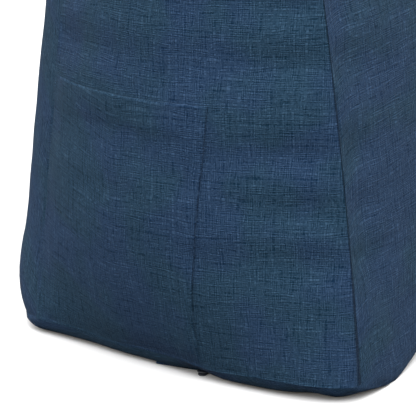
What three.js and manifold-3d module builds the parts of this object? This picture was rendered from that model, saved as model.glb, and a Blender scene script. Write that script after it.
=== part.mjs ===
// Wedge back cushion that stands on its base: one plump filled solid with a rounded ridge,
// a patch pocket on one end panel, a lapped zip flap along the base and a small zip slider.
// Millimetres, +Z up. X runs along the length, the front panel faces -Y, the back panel +Y,
// and the pocket is on the -X end panel. The origin is on the floor, under the middle.

import * as THREE from 'three';
import Module from 'manifold-3d';
import { mergeVertices } from 'three/addons/utils/BufferGeometryUtils.js';

// Driving dimensions of the filled body
const SEAM_LENGTH = 540; // between the two end seams, along X
const BASE_DEPTH = 200; // between the front and back seams at the base
const SEAM_TOP = 494; // height of the end panel's outline at the ridge
const SEAM_BASE = 9.6; // height of the base seam above the floor
const LOW_LEAN = 0.093; // how far a side leans in for each mm of height, at the base
const HIGH_LEAN = 0.165; // the same above LEAN_HEIGHT
const LEAN_HEIGHT = 225; // height at which a side reaches its full lean

// Crown of the end panels
const DOME_RATIO = 0.155; // rise of the dome for each mm of the panel's width
const DOME_FOOT = 96; // height over which the dome grows out of the base seam
const SEAM_BOW = 14.3; // how far the base seam bows out in the middle of the end
const BOW_FADE = 60; // distance along the base over which the bow is lost
const BOW_SKEW = 0.85; // it bows out more in its front half
const BOW_FULLNESS = 0.5; // power of its arc
const ZIP_DIP = 1.8; // how much lower it lies where the zip ends
const ZIP_REACH = 18;
const BACK_DIP = 2; // it sags here too, between the zip and the back corner
const BACK_DIP_AT = 41;
const BACK_DIP_REACH = 13;
const DIP_FADE = 25; // height over which the end panel forgets both
const ZIP_TUCK = 5; // the zip's end draws the roll of the base in
const TUCK_HALF = 9;
const TUCK_DEPTH = 4;
const PUFF = 3; // how far the cloth stands over a seam line
const PUFF_REACH = 7;
const PUFF_FADE = 45; // the other seams draw the end panel in less sharply

// Crown of the front, back and base
const FRONT_PUFF = 1;
const FRONT_PUFF_REACH = 6;
const FRONT_CROWN = 7;
const ROLL_POWER = 3; // back and base leave the end seam without a groove
const BACK_ROLL = 23; // the back panel rolls round its end seam
const BACK_ROLL_REACH = 30;
const BACK_CROWN = 6;
const BACK_BELLY = 3.2; // and sags a little near its foot
const BACK_BELLY_HEIGHT = 22;
const BACK_BELLY_REACH = 27;
const RIDGE_CROWN = 6;
const CROWN_POWER = 2.6;
const BASE_ROLL_REACH = 18.5;
const BASE_PUFF = 3.2; // it stands out past the base seam before it turns under
const BASE_PUFF_CORNER = 0.02; // share of the half width over which that fades at a corner
const BACK_SLACK = 0.4; // and it is less towards the back
const FRONT_ROUND = 62; // soft roll between front panel and base
const FRONT_ROUND_START = 30; // it grows from here,
const FRONT_ROUND_REACH = 155; // to here, so that a pointed ear is left at the seam
const BACK_ROUND = 26;
const BACK_ROUND_REACH = 32;
const CORNER_LIFT = 2.0; // the base's front corners turn up: its roll reaches further by this share
const CORNER_SHARE = 0.07; // of itself, over this share of the half width
const EAR_LIFT = 0.5; // and it turns up a little beside them
const EAR_AT = 0.77;
const EAR_SHARE = 0.09;
const BASE_CROWDING = 4; // an even power: the bulges move only the outer lines of the base

// Puckers along the front and back seams, drawn in by the stitching
const PUCKER_DEPTH = 3;
const FRONT_PUCKER = 0.65; // share of it on the front panel
const BACK_PUCKER = 0.25; // and on the back panel
const PUCKER_HALF = 9;
const PUCKER_REACH = 14; // distance from the seam at which they are deepest
const PUCKER_HEIGHTS = [72, 98, 126, 171, 199, 233, 262, 298, 334, 372, 409, 446];

// Patch pocket on the -X end panel
const POCKET_TOP = 150;
const POCKET_FOOT = 10.2; // just above the base seam
const POCKET_SIDE = -16; // Y of its free front edge, low down
const POCKET_SPREAD = 0.087; // and how far it leans to the front for each mm above
const POCKET_SPREAD_FROM = 40; // this height
const POCKET_BACK_INSET = 3; // its back edge is caught beside the back seam
const POCKET_CLOTH = 1.8;

// Zip flap along the base, and the slider at the flap's front edge on the -X end
const ZIP_END = -22; // Y at which the zip's end pulls the base seam down
const FLAP_FRONT = -7.5; // Y of the flap's front edge
const FLAP_WIDTH = 25.5;
const FLAP_CLOTH = 1.8;
const FLAP_END = 274.3; // how far it reaches from the middle of the length
const FLAP_SLANT = 0.11; // and how much further for each mm towards its back edge
const SLIDER_WIDTH = 6.4;
const SLIDER_LENGTH = 8;
const SLIDER_THICK = 2.4;
const SLIDER_TIP = 279; // how far it reaches from the middle of the length
const GAP = 0.3; // between pieces that touch
const LAY = 0.6; // gap under the pocket, which follows the curved end

const CHANNEL_OVERRUN = 40; // the cuts for flap and slider run out past the ends

const HALF = SEAM_LENGTH / 2;
const HALF_BASE = BASE_DEPTH / 2;
const SLIDER_Y = FLAP_FRONT - GAP - SLIDER_WIDTH / 2;

// Outline of the end panel

function halfWidth(z) {
  const low = Math.min(z, LEAN_HEIGHT);
  const growth = (HIGH_LEAN - LOW_LEAN) / (2 * LEAN_HEIGHT);
  const above = Math.max(z - LEAN_HEIGHT, 0);
  return HALF_BASE - LOW_LEAN * low - growth * low * low - HIGH_LEAN * above;
}

// The ridge is an arc that both leaning sides meet without a corner
const SLANT = Math.hypot(1, HIGH_LEAN);
const SIDE_AT_FLOOR = halfWidth(LEAN_HEIGHT) + HIGH_LEAN * LEAN_HEIGHT;
const RIDGE_CENTRE = (SLANT * SEAM_TOP - SIDE_AT_FLOOR) / (SLANT - HIGH_LEAN);
const RIDGE_RADIUS = SEAM_TOP - RIDGE_CENTRE;
const RIDGE_START = Math.atan(HIGH_LEAN);

const SIDE_ROWS = 36;
const RIDGE_ROWS = 5;

// A level of the outline on a leaning side: half width y, height z, and the outward normal
function sideRow(z) {
  const step = 0.5;
  const lean = (halfWidth(z - step) - halfWidth(z + step)) / (2 * step);
  const size = Math.hypot(1, lean);
  return { y: halfWidth(z), z, ny: 1 / size, nz: lean / size };
}

function outlineRows() {
  const rows = [];
  const sideTop = RIDGE_CENTRE + RIDGE_RADIUS * Math.sin(RIDGE_START);
  for (let i = 0; i < SIDE_ROWS; i += 1) {
    rows.push(sideRow(SEAM_BASE + ((sideTop - SEAM_BASE) * i) / SIDE_ROWS));
  }
  for (let i = 0; i <= RIDGE_ROWS; i += 1) {
    const angle = RIDGE_START + ((Math.PI / 2 - RIDGE_START) * i) / RIDGE_ROWS;
    const y = i === RIDGE_ROWS ? 0 : RIDGE_RADIUS * Math.cos(angle);
    const z = RIDGE_CENTRE + RIDGE_RADIUS * Math.sin(angle);
    rows.push({ y, z, ny: Math.cos(angle), nz: Math.sin(angle) });
  }
  return rows;
}

// Shares of the width at which the columns of an end panel stand, closer beside the seams
const COLUMNS = [0, 0.022, 0.055, 0.1, 0.16, 0.23, 0.3, 0.37, 0.44, 0.5, 0.56, 0.63, 0.71, 0.78,
  0.85, 0.905, 0.948, 0.978, 1];

// Crown of an end panel

function bump(distance, reach) {
  return Math.exp(-((distance / reach) ** 2));
}

// Share is -1 at the front seam and 1 at the back seam
function zipPull(share) {
  return bump(share * HALF_BASE - ZIP_END, ZIP_REACH);
}

function seamBow(share) {
  const across = Math.max(1 - share * share, 0);
  return SEAM_BOW * across ** BOW_FULLNESS * (1 - BOW_SKEW * share);
}

function seamDip(share) {
  const sag = BACK_DIP * bump(share * HALF_BASE - BACK_DIP_AT, BACK_DIP_REACH);
  return ZIP_DIP * zipPull(share) + sag;
}

function pucker(z, distance) {
  let dent = 0;
  for (const height of PUCKER_HEIGHTS) {
    dent += bump(z - height, PUCKER_HALF);
  }
  const swell = (distance / PUCKER_REACH) * Math.exp(1 - distance / PUCKER_REACH);
  return PUCKER_DEPTH * dent * swell;
}

// How far the end panel stands out from the plane of its seams, before the puckers
function smoothDome(y, z, halfRow) {
  if (halfRow < 0.01) {
    return 0;
  }
  const share = y / halfRow;
  const arc = 1 - share * share;
  const full = DOME_RATIO * 2 * halfRow * arc;
  const rise = Math.min(Math.max((z - SEAM_BASE) / DOME_FOOT, 0), 1);
  const bow = seamBow(share) * (1 - rise) ** 2;
  const overFront = 1 - Math.exp(-(halfRow + y) / PUFF_REACH);
  const overBack = 1 - Math.exp(-(halfRow - y) / PUFF_FADE);
  const overBase = 1 - Math.exp((SEAM_BASE - z) / PUFF_FADE);
  return bow + full * (1 - (1 - rise) ** 2) + PUFF * overFront * overBack * overBase;
}

function dome(y, z, halfRow) {
  return smoothDome(y, z, halfRow) - pucker(z, halfRow - Math.abs(y));
}

// How far a point of the end panel sinks where the zip pulls the base seam down
function endDip(share, z) {
  return seamDip(share) * Math.exp((SEAM_BASE - z) / DIP_FADE);
}

// Front, back and base panels: sections across X that change with the distance from the seam

function crown(distance) {
  const across = Math.abs(1 - distance / HALF);
  return 1 - across ** CROWN_POWER;
}

function quarterRound(share) {
  const left = 1 - Math.min(share, 1);
  return Math.sqrt(1 - left * left);
}

function softRoll(share) {
  return 1 - (1 - Math.min(share, 1)) ** ROLL_POWER;
}

function frontBulge(distance, z) {
  const puff = FRONT_PUFF * (1 - Math.exp(-distance / FRONT_PUFF_REACH));
  return puff + FRONT_CROWN * crown(distance) - FRONT_PUCKER * pucker(z, distance);
}

function backBulge(distance, z) {
  const roll = softRoll(distance / BACK_ROLL_REACH);
  const belly = BACK_BELLY * bump(z - BACK_BELLY_HEIGHT, BACK_BELLY_REACH);
  const crowned = BACK_CROWN * crown(distance) - BACK_PUCKER * pucker(z, distance);
  return (BACK_ROLL + belly) * roll + crowned;
}

function edgeRound(side, distance) {
  if (side > 0) {
    return BACK_ROUND * quarterRound(distance / BACK_ROUND_REACH);
  }
  const grown = (distance - FRONT_ROUND_START) / (FRONT_ROUND_REACH - FRONT_ROUND_START);
  const share = Math.min(Math.max(grown, 0), 1);
  return FRONT_ROUND * share * share * (3 - 2 * share);
}

function basePuff(share, distance) {
  const along = Math.min(distance / BASE_ROLL_REACH, 1);
  const nearCorner = Math.min((1 - Math.abs(share)) / BASE_PUFF_CORNER, 1);
  const fullness = nearCorner * (1 - BACK_SLACK * Math.max(share, 0));
  return BASE_PUFF * Math.sin(Math.PI * along) * fullness;
}

function baseHeight(distance, dip, share) {
  const corner = CORNER_LIFT * bump(1 + share, CORNER_SHARE);
  const beside = EAR_LIFT * bump(EAR_AT + share, EAR_SHARE);
  const reach = BASE_ROLL_REACH * (1 + corner + beside);
  return (SEAM_BASE - dip) * (1 - softRoll(distance / reach));
}

// The base near an end: how far along it a line across it lies, at a distance from the end seam
function baseLine(share, distance) {
  const along = HALF - distance + seamBow(share) * Math.exp(-distance / BOW_FADE);
  const tuck = ZIP_TUCK * bump(share * HALF_BASE - SLIDER_Y, TUCK_HALF);
  return along + basePuff(share, distance) - tuck * (1 - Math.exp(-distance / TUCK_DEPTH));
}

// A soft corner: a quadratic curve between two edges, held by the sharp corner between them
function softCorner(start, corner, end, share) {
  const a = (1 - share) ** 2;
  const b = 2 * share * (1 - share);
  const c = share ** 2;
  return [a * start[0] + b * corner[0] + c * end[0], a * start[1] + b * corner[1] + c * end[1]];
}

// One point of a section: station is a row on the front or back, or a share across the base
function sectionPoint(station, distance) {
  if (station.kind === 'base') {
    const across = 2 * station.share - 1;
    const side = across < 0 ? -1 : 1;
    const level = baseHeight(distance, 0, side);
    const bulge = side < 0 ? frontBulge(distance, level) : backBulge(distance, level);
    const reach = halfWidth(level) * Math.abs(across) + bulge * across ** BASE_CROWDING;
    const inset = halfWidth(level) + bulge - reach;
    const round = edgeRound(side, distance);
    if (inset >= round) {
      return [side * reach, baseHeight(distance, seamDip(across), across)];
    }
    return cornerPoint(side, distance, round, 0.5 + inset / (2 * round));
  }
  const side = station.kind === 'front' ? -1 : 1;
  const round = edgeRound(side, distance);
  const up = station.row.z - SEAM_BASE;
  if (up < round) {
    return cornerPoint(side, distance, round, 0.5 - up / (2 * round));
  }
  return sidePoint(side, station.row, distance);
}

function sidePoint(side, row, distance) {
  const flank = side < 0 ? frontBulge(distance, row.z) : backBulge(distance, row.z);
  const ridge = RIDGE_CROWN * crown(distance);
  const overRidge = row.nz ** 2;
  const bulge = flank * (1 - overRidge) + ridge * overRidge;
  return [side * (row.y + row.ny * bulge), row.z + row.nz * bulge];
}

function cornerPoint(side, distance, round, share) {
  const low = baseHeight(distance, 0, side);
  const start = sidePoint(side, sideRow(SEAM_BASE + round), distance);
  const bulge = side < 0 ? frontBulge(distance, low) : backBulge(distance, low);
  const foot = halfWidth(low) + bulge;
  const corner = [side * foot, low];
  const end = [side * (foot - round), low];
  return softCorner(start, corner, end, share);
}

// Mesh helpers

function meshData() {
  const points = [];
  const triangles = [];
  return {
    add(x, y, z) {
      points.push(x, y, z);
      return points.length / 3 - 1;
    },
    quad(a, b, c, d) {
      triangles.push(a, b, c, a, c, d);
    },
    geometry() {
      const raw = new THREE.BufferGeometry();
      raw.setAttribute('position', new THREE.Float32BufferAttribute(points, 3));
      raw.setIndex(triangles);
      return withoutSlivers(mergeVertices(raw, 1e-4));
    },
  };
}

// Drops triangles that merged to a line at the ridge
function withoutSlivers(geometry) {
  const kept = [];
  const index = geometry.index.array;
  for (let i = 0; i < index.length; i += 3) {
    const [a, b, c] = [index[i], index[i + 1], index[i + 2]];
    if (a !== b && b !== c && c !== a) {
      kept.push(a, b, c);
    }
  }
  geometry.setIndex(kept);
  return geometry;
}

// Filled body: two domed end panels and one strip that runs round front, ridge, back and base

const RING_DISTANCES = [0, 2.5, 6, 11, 18, 28, 42, 60, 85, 120, 165, 215];

// From the -X end to the +X end, with one ring halfway
function ringPlaces() {
  const near = RING_DISTANCES.map((distance) => ({ end: -1, distance }));
  const far = RING_DISTANCES.map((distance) => ({ end: 1, distance })).reverse();
  return [...near, { end: 1, distance: HALF }, ...far];
}

function bodyGeometry() {
  const rows = outlineRows();
  const data = meshData();
  const stations = [];
  for (const share of COLUMNS) {
    stations.push({ kind: 'base', share, row: rows[0] });
  }
  for (const row of rows.slice(1)) {
    stations.push({ kind: 'back', row });
  }
  for (const row of rows.slice(1, -1).reverse()) {
    stations.push({ kind: 'front', row });
  }

  for (const end of [-1, 1]) {
    const grid = rows.map((row) => COLUMNS.map((share) => {
      const y = row.y * (2 * share - 1);
      const z = row.z - endDip(2 * share - 1, row.z);
      return data.add(end * (HALF + dome(y, row.z, row.y)), y, z);
    }));
    for (let j = 0; j + 1 < grid.length; j += 1) {
      for (let i = 0; i + 1 < COLUMNS.length; i += 1) {
        const corners = [grid[j][i], grid[j][i + 1], grid[j + 1][i + 1], grid[j + 1][i]];
        data.quad(...(end > 0 ? corners : corners.reverse()));
      }
    }
  }

  const rings = ringPlaces().map(({ end, distance }) => {
    return stations.map((station) => {
      const [y, z] = sectionPoint(station, distance);
      const onBase = station.kind === 'base';
      const x = onBase ? baseLine(2 * station.share - 1, distance) : HALF - distance;
      return data.add(end * x, y, z);
    });
  });
  for (let k = 0; k + 1 < rings.length; k += 1) {
    for (let i = 0; i < stations.length; i += 1) {
      const next = (i + 1) % stations.length;
      data.quad(rings[k][i], rings[k][next], rings[k + 1][next], rings[k + 1][i]);
    }
  }
  return data.geometry();
}

// A closed sheet from two grids of points, one on each side of the cloth. Its rows and columns
// turn left seen from beyond the first grid.
function sheetGeometry(first, second) {
  const data = meshData();
  const sides = [first, second].map((grid) => grid.map((line) => line.map((p) => data.add(...p))));
  const rows = first.length - 1;
  const columns = first[0].length - 1;
  for (let j = 0; j < rows; j += 1) {
    for (let i = 0; i < columns; i += 1) {
      const [a, b] = sides;
      data.quad(a[j][i], a[j][i + 1], a[j + 1][i + 1], a[j + 1][i]);
      data.quad(b[j][i], b[j + 1][i], b[j + 1][i + 1], b[j][i + 1]);
    }
  }
  const rim = [];
  for (let i = 0; i < columns; i += 1) rim.push([0, i]);
  for (let j = 0; j < rows; j += 1) rim.push([j, columns]);
  for (let i = columns; i > 0; i -= 1) rim.push([rows, i]);
  for (let j = rows; j > 0; j -= 1) rim.push([j, 0]);
  rim.forEach(([j, i], place) => {
    const [k, l] = rim[(place + 1) % rim.length];
    data.quad(sides[0][j][i], sides[1][j][i], sides[1][k][l], sides[0][k][l]);
  });
  return data.geometry();
}

// Patch pocket: it bridges the puckers and follows the crown of the end panel

const POCKET_ROWS = 14;
const POCKET_COLUMNS = 12;
const POCKET_CROWDING = 1.5; // its columns stand closer beside the back seam

function endPoint(y, z) {
  const halfRow = halfWidth(z);
  const point = new THREE.Vector3(-(HALF + smoothDome(y, z, halfRow)), y, z);
  point.z -= endDip(y / halfRow, z);
  return point;
}

function endNormal(y, z) {
  const step = 0.5;
  const across = endPoint(y + step, z).sub(endPoint(y - step, z));
  const up = endPoint(y, z + step).sub(endPoint(y, z - step));
  return up.cross(across).normalize();
}

function pocketSide(z) {
  return POCKET_SIDE - POCKET_SPREAD * Math.max(z - POCKET_SPREAD_FROM, 0);
}

function pocketGeometry() {
  const layer = (lift) => {
    const grid = [];
    for (let j = 0; j <= POCKET_ROWS; j += 1) {
      const z = POCKET_FOOT + ((POCKET_TOP - POCKET_FOOT) * j) / POCKET_ROWS;
      const front = pocketSide(z);
      const back = halfWidth(z) - POCKET_BACK_INSET;
      const line = [];
      for (let i = 0; i <= POCKET_COLUMNS; i += 1) {
        const share = 1 - (1 - i / POCKET_COLUMNS) ** POCKET_CROWDING;
        const y = front + (back - front) * share;
        line.push(endPoint(y, z).addScaledVector(endNormal(y, z), lift).toArray());
      }
      grid.push(line);
    }
    return grid;
  };
  return sheetGeometry(layer(LAY), layer(LAY + POCKET_CLOTH));
}

// Zip flap: a flat strip let into the base, whose ends show under the roll of the base
function flapGeometry() {
  const reach = FLAP_SLANT * (FLAP_WIDTH / 2);
  const back = FLAP_FRONT + FLAP_WIDTH;
  const outline = new THREE.Shape();
  outline.moveTo(reach - FLAP_END, FLAP_FRONT);
  outline.lineTo(FLAP_END - reach, FLAP_FRONT);
  outline.lineTo(FLAP_END + reach, back);
  outline.lineTo(-FLAP_END - reach, back);
  outline.closePath();
  return new THREE.ExtrudeGeometry(outline, { depth: FLAP_CLOTH, bevelEnabled: false });
}

// Zip slider: a small flat body with round ends

const SLIDER_X = SLIDER_LENGTH / 2 - SLIDER_TIP;

function sliderGeometry() {
  const round = SLIDER_WIDTH / 2;
  const reach = SLIDER_LENGTH / 2 - round;
  const outline = new THREE.Shape();
  outline.absarc(reach, 0, round, -Math.PI / 2, Math.PI / 2);
  outline.absarc(-reach, 0, round, Math.PI / 2, (3 * Math.PI) / 2);
  outline.closePath();
  return new THREE.ExtrudeGeometry(outline, {
    depth: SLIDER_THICK,
    bevelEnabled: false,
    curveSegments: 6,
  });
}

// Booleans

const wasm = await Module();
wasm.setup();

function toSolid(geometry) {
  const bare = geometry.clone();
  bare.deleteAttribute('normal');
  bare.deleteAttribute('uv');
  const merged = mergeVertices(bare, 1e-4);
  const mesh = new wasm.Mesh({
    numProp: 3,
    vertProperties: new Float32Array(merged.attributes.position.array),
    triVerts: new Uint32Array(merged.index.array),
  });
  return new wasm.Manifold(mesh);
}

function toGeometry(solid) {
  const mesh = solid.getMesh();
  const geometry = new THREE.BufferGeometry();
  geometry.setAttribute('position', new THREE.BufferAttribute(mesh.vertProperties, 3));
  geometry.setIndex(new THREE.BufferAttribute(mesh.triVerts, 1));
  return geometry;
}

// The channel in the base that the flap lies in, and a notch at its end for the slider
function flapChannel() {
  const length = SEAM_LENGTH + 2 * CHANNEL_OVERRUN;
  const height = 2 * (FLAP_CLOTH + GAP);
  const channel = new THREE.BoxGeometry(length, FLAP_WIDTH + 2 * GAP, height);
  return channel.translate(0, FLAP_FRONT + FLAP_WIDTH / 2, 0);
}

function sliderNotch() {
  const inner = SLIDER_X + SLIDER_LENGTH / 2 + GAP;
  const length = HALF + CHANNEL_OVERRUN + inner;
  const width = SLIDER_WIDTH + 2 * GAP;
  const notch = new THREE.BoxGeometry(length, width, 2 * (SLIDER_THICK + GAP));
  return notch.translate(inner - length / 2, SLIDER_Y, 0);
}

// Scene graph

const pieces = new THREE.Group();
const cloth = new THREE.MeshStandardMaterial({ color: 0x2c4156, roughness: 0.95, metalness: 0 });
const zipCoating = new THREE.MeshStandardMaterial({ color: 0x15191f, roughness: 0.5, metalness: 0 });

function place(name, geometry, material) {
  const mesh = new THREE.Mesh(geometry, material);
  mesh.name = name;
  pieces.add(mesh);
  return mesh;
}

const hollowed = toSolid(bodyGeometry())
  .subtract(toSolid(flapChannel()))
  .subtract(toSolid(sliderNotch()));
place('cushion', toGeometry(hollowed), cloth);
place('pocket', pocketGeometry(), cloth);
place('zip_flap', flapGeometry(), cloth);

place('zip_slider', sliderGeometry(), zipCoating).position.set(SLIDER_X, SLIDER_Y, 0);

// The origin goes under the middle of everything built, pocket and back roll included
const middle = new THREE.Box3().setFromObject(pieces).getCenter(new THREE.Vector3());
pieces.position.set(-middle.x, -middle.y, 0);

const cushion = new THREE.Group();
cushion.add(pieces);

export default cushion;
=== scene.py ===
# Looks of a wedge back cushion in a navy slub weave. It stands on its base on a pale floor, with
# plump end panels, a patch pocket, a lapped zip flap along the base and a small zip slider.
# Shapes are worked out in millimetres in the cushion's own frame, whose end seams stand at equal
# distances from its middle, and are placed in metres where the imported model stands.

import math

import bpy
import numpy as np
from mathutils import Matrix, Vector


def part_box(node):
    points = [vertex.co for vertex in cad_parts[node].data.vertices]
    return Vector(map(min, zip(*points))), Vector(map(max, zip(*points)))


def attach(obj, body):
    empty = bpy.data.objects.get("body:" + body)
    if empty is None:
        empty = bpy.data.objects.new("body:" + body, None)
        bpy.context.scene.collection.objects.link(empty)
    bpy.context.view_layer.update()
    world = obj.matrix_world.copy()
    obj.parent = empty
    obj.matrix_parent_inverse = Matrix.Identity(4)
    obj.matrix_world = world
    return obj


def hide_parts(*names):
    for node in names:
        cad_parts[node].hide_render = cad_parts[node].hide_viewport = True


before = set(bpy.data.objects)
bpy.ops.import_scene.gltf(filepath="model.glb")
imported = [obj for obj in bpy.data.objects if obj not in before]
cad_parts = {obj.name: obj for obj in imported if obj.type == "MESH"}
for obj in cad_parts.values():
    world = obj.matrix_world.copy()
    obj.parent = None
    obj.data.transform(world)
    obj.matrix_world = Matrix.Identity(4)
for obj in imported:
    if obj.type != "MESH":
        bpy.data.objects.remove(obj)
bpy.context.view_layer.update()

MM = 0.001

# Filled body, in millimetres
SEAM_LENGTH = 540  # between the two end seams
BASE_DEPTH = 200
SEAM_TOP = 494
SEAM_BASE = 9.6  # the end seams run this high above the floor
LOW_LEAN = 0.093  # how fast an end panel narrows at its foot, and from LEAN_HEIGHT up
HIGH_LEAN = 0.165
LEAN_HEIGHT = 225
DOME_RATIO = 0.155  # how far an end panel stands out, for each mm of its width
DOME_FOOT = 96
SEAM_BOW = 14.3  # how far the base seam bows out, most towards the front
BOW_FADE = 60
BOW_SKEW = 0.85
BOW_FULLNESS = 0.5
ZIP_DIP = 1.8
ZIP_REACH = 18
BACK_DIP = 2  # the base seam sags here too, between the zip and the back corner
BACK_DIP_AT = 41
BACK_DIP_REACH = 13
DIP_FADE = 25
ZIP_TUCK = 5  # the zip's end draws the roll of the base in
TUCK_HALF = 9
TUCK_DEPTH = 4
PUFF = 3
PUFF_REACH = 7
PUFF_FADE = 45  # the other seams draw the end panel in less sharply
FRONT_PUFF = 1
FRONT_PUFF_REACH = 6
FRONT_CROWN = 7
ROLL_POWER = 3  # back and base leave the end seam without a groove
BACK_ROLL = 23
BACK_ROLL_REACH = 30
BACK_CROWN = 6
BACK_BELLY = 3.2
BACK_BELLY_HEIGHT = 22
BACK_BELLY_REACH = 27
RIDGE_CROWN = 6
CROWN_POWER = 2.6
BASE_ROLL_REACH = 18.5  # the base comes down to the floor over this length
BASE_PUFF = 3.2
BASE_PUFF_CORNER = 0.02
BACK_SLACK = 0.4
FRONT_ROUND = 62  # rounding of the front panel's foot at mid length, none beside the end seams
FRONT_ROUND_START = 30
FRONT_ROUND_REACH = 155
BACK_ROUND = 26
BACK_ROUND_REACH = 32
BASE_CROWDING = 4
CORNER_LIFT = 2.0  # how much further the base's roll reaches at a front corner, which turns up
CORNER_SHARE = 0.07
EAR_LIFT = 0.5  # and beside it, where the base leaves the floor again
EAR_AT = 0.77
EAR_SHARE = 0.09

# The seam allowance inside the base seam leaves a shallow trough along the end panels' feet
TROUGH_DEPTH = 0.25
TROUGH_HEIGHT = 1.7  # above the seam
TROUGH_HALF = 1.1
TROUGH_FADE = 6  # distance from the other seams at which it begins

# Puckers along the front and back seams
PUCKER_DEPTH = 3  # on the end panels
FRONT_PUCKER = 0.65  # share of that depth on the front panel
BACK_PUCKER = 0.1  # and on the back panel
PUCKER_HALF = 9
PUCKER_REACH = 14
PUCKER_HEIGHTS = (72, 98, 126, 171, 199, 233, 262, 298, 334, 372, 409, 446)

# Patch pocket, zip flap and zip slider
POCKET_TOP = 150
POCKET_FOOT = 10.2
POCKET_SIDE = -16
POCKET_SPREAD = 0.087
POCKET_SPREAD_FROM = 40
POCKET_BACK_INSET = 3
POCKET_CLOTH = 1.3
ZIP_END = -22
FLAP_FRONT = -7.5
FLAP_WIDTH = 25.5
FLAP_CLOTH = 1.8
FLAP_END = 274.3
FLAP_SLANT = 0.11
SLIDER_WIDTH = 6.4
SLIDER_LENGTH = 8
SLIDER_THICK = 2.4
SLIDER_TIP = 279
GAP = 0.3  # between pieces

SLOPE_STEP = 0.5  # slopes are measured over this distance to each side
NARROWEST = 0.01  # an end panel narrower than this is a point
TINY = 1e-6

HALF = SEAM_LENGTH / 2
HALF_BASE = BASE_DEPTH / 2
SLIDER_Y = FLAP_FRONT - GAP - SLIDER_WIDTH / 2

# Where the cushion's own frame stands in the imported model, read from two of its nodes
cushion_low, cushion_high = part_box("cushion")
flap_low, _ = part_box("zip_flap")
PLACE = np.array([
    (cushion_low.x + cushion_high.x) / 2 / MM,
    flap_low.y / MM - FLAP_FRONT,
    0.0,
])


# Outline of the end panels

def half_width(z):
    low = np.minimum(z, LEAN_HEIGHT)
    growth = (HIGH_LEAN - LOW_LEAN) / (2 * LEAN_HEIGHT)
    above = np.maximum(z - LEAN_HEIGHT, 0)
    return HALF_BASE - LOW_LEAN * low - growth * low**2 - HIGH_LEAN * above


SLANT = math.hypot(1, HIGH_LEAN)
SIDE_AT_FLOOR = half_width(LEAN_HEIGHT) + HIGH_LEAN * LEAN_HEIGHT
RIDGE_CENTRE = (SLANT * SEAM_TOP - SIDE_AT_FLOOR) / (SLANT - HIGH_LEAN)
RIDGE_RADIUS = SEAM_TOP - RIDGE_CENTRE
RIDGE_START = math.atan(HIGH_LEAN)
SIDE_TOP = RIDGE_CENTRE + RIDGE_RADIUS * math.sin(RIDGE_START)

CELL = 5.2  # spacing of the fine grid away from the seams
RIDGE_ROWS = 10
NEAR_SEAM = (0, 0.6, 1.3, 2.2, 3.3, 4.8, 6.8, 9.4, 12.8, 17, 21.6)
TRIAL_CELL = 9  # spacing of the grid that the cloth simulation runs on
TRIAL_RIDGE_ROWS = 5


def fine_steps(length):
    """Distances from a seam to a place at length, close together beside the seam."""
    steps = round((length - NEAR_SEAM[-1]) / CELL)
    return np.concatenate([NEAR_SEAM[:-1], np.linspace(NEAR_SEAM[-1], length, steps + 1)])


def trial_steps(length):
    return np.linspace(0, length, round(length / TRIAL_CELL) + 1)


FOOT = float(half_width(SEAM_BASE))


class Layout:
    """Where the lines of the cover's grids run: rows up an end panel, shares of its width, and
    distances from an end seam to the middle of the length."""

    def __init__(self, steps, ridge_rows, extra=()):
        self.rows, self.row_places = outline_rows(steps(SIDE_TOP - SEAM_BASE)[:-1], ridge_rows)
        near = steps(FOOT) / (2 * FOOT)
        extra = 0.5 + np.array(extra) / (2 * FOOT)
        self.shares = np.sort(np.concatenate([near, 1 - near[-2::-1], extra]))
        self.middle = int(np.argmin(np.abs(self.shares - 0.5)))
        self.distances = steps(HALF)
        self.rings = np.concatenate([self.distances, self.distances[-2::-1]])
        self.ends = np.where(np.arange(len(self.rings)) < len(self.distances), -1, 1)
        self.ring_places = np.concatenate([
            self.distances,
            SEAM_LENGTH - self.distances[-2::-1],
        ])


def level(z):
    """Half width, height and outward normal of an end panel's outline at height z."""
    lean = (half_width(z - SLOPE_STEP) - half_width(z + SLOPE_STEP)) / (2 * SLOPE_STEP)
    size = np.hypot(1, lean)
    return half_width(z), z, 1 / size, lean / size


def outline_rows(up, ridge_rows):
    """The levels of an end panel from the base up, and how far round the outline each lies."""
    side = np.stack(level(SEAM_BASE + up), 1)
    angle = np.linspace(RIDGE_START, math.pi / 2, ridge_rows + 1)
    ridge = np.stack([
        RIDGE_RADIUS * np.cos(angle),
        RIDGE_CENTRE + RIDGE_RADIUS * np.sin(angle),
        np.cos(angle),
        np.sin(angle),
    ], 1)
    ridge[-1, 0] = 0
    places = np.concatenate([up, SIDE_TOP - SEAM_BASE + RIDGE_RADIUS * (angle - RIDGE_START)])
    return np.concatenate([side, ridge]), places


# Crown of the end panels

def bump(distance, reach):
    return np.exp(-((distance / reach) ** 2))


def zip_pull(share):
    return bump(share * HALF_BASE - ZIP_END, ZIP_REACH)


def seam_bow(share):
    across = np.maximum(1 - share**2, 0)
    return SEAM_BOW * across**BOW_FULLNESS * (1 - BOW_SKEW * share)


def seam_dip(share):
    sag = BACK_DIP * bump(share * HALF_BASE - BACK_DIP_AT, BACK_DIP_REACH)
    return ZIP_DIP * zip_pull(share) + sag


def pucker(z, distance):
    dent = sum(bump(z - height, PUCKER_HALF) for height in PUCKER_HEIGHTS)
    swell = (distance / PUCKER_REACH) * np.exp(1 - distance / PUCKER_REACH)
    return PUCKER_DEPTH * dent * swell


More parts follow.
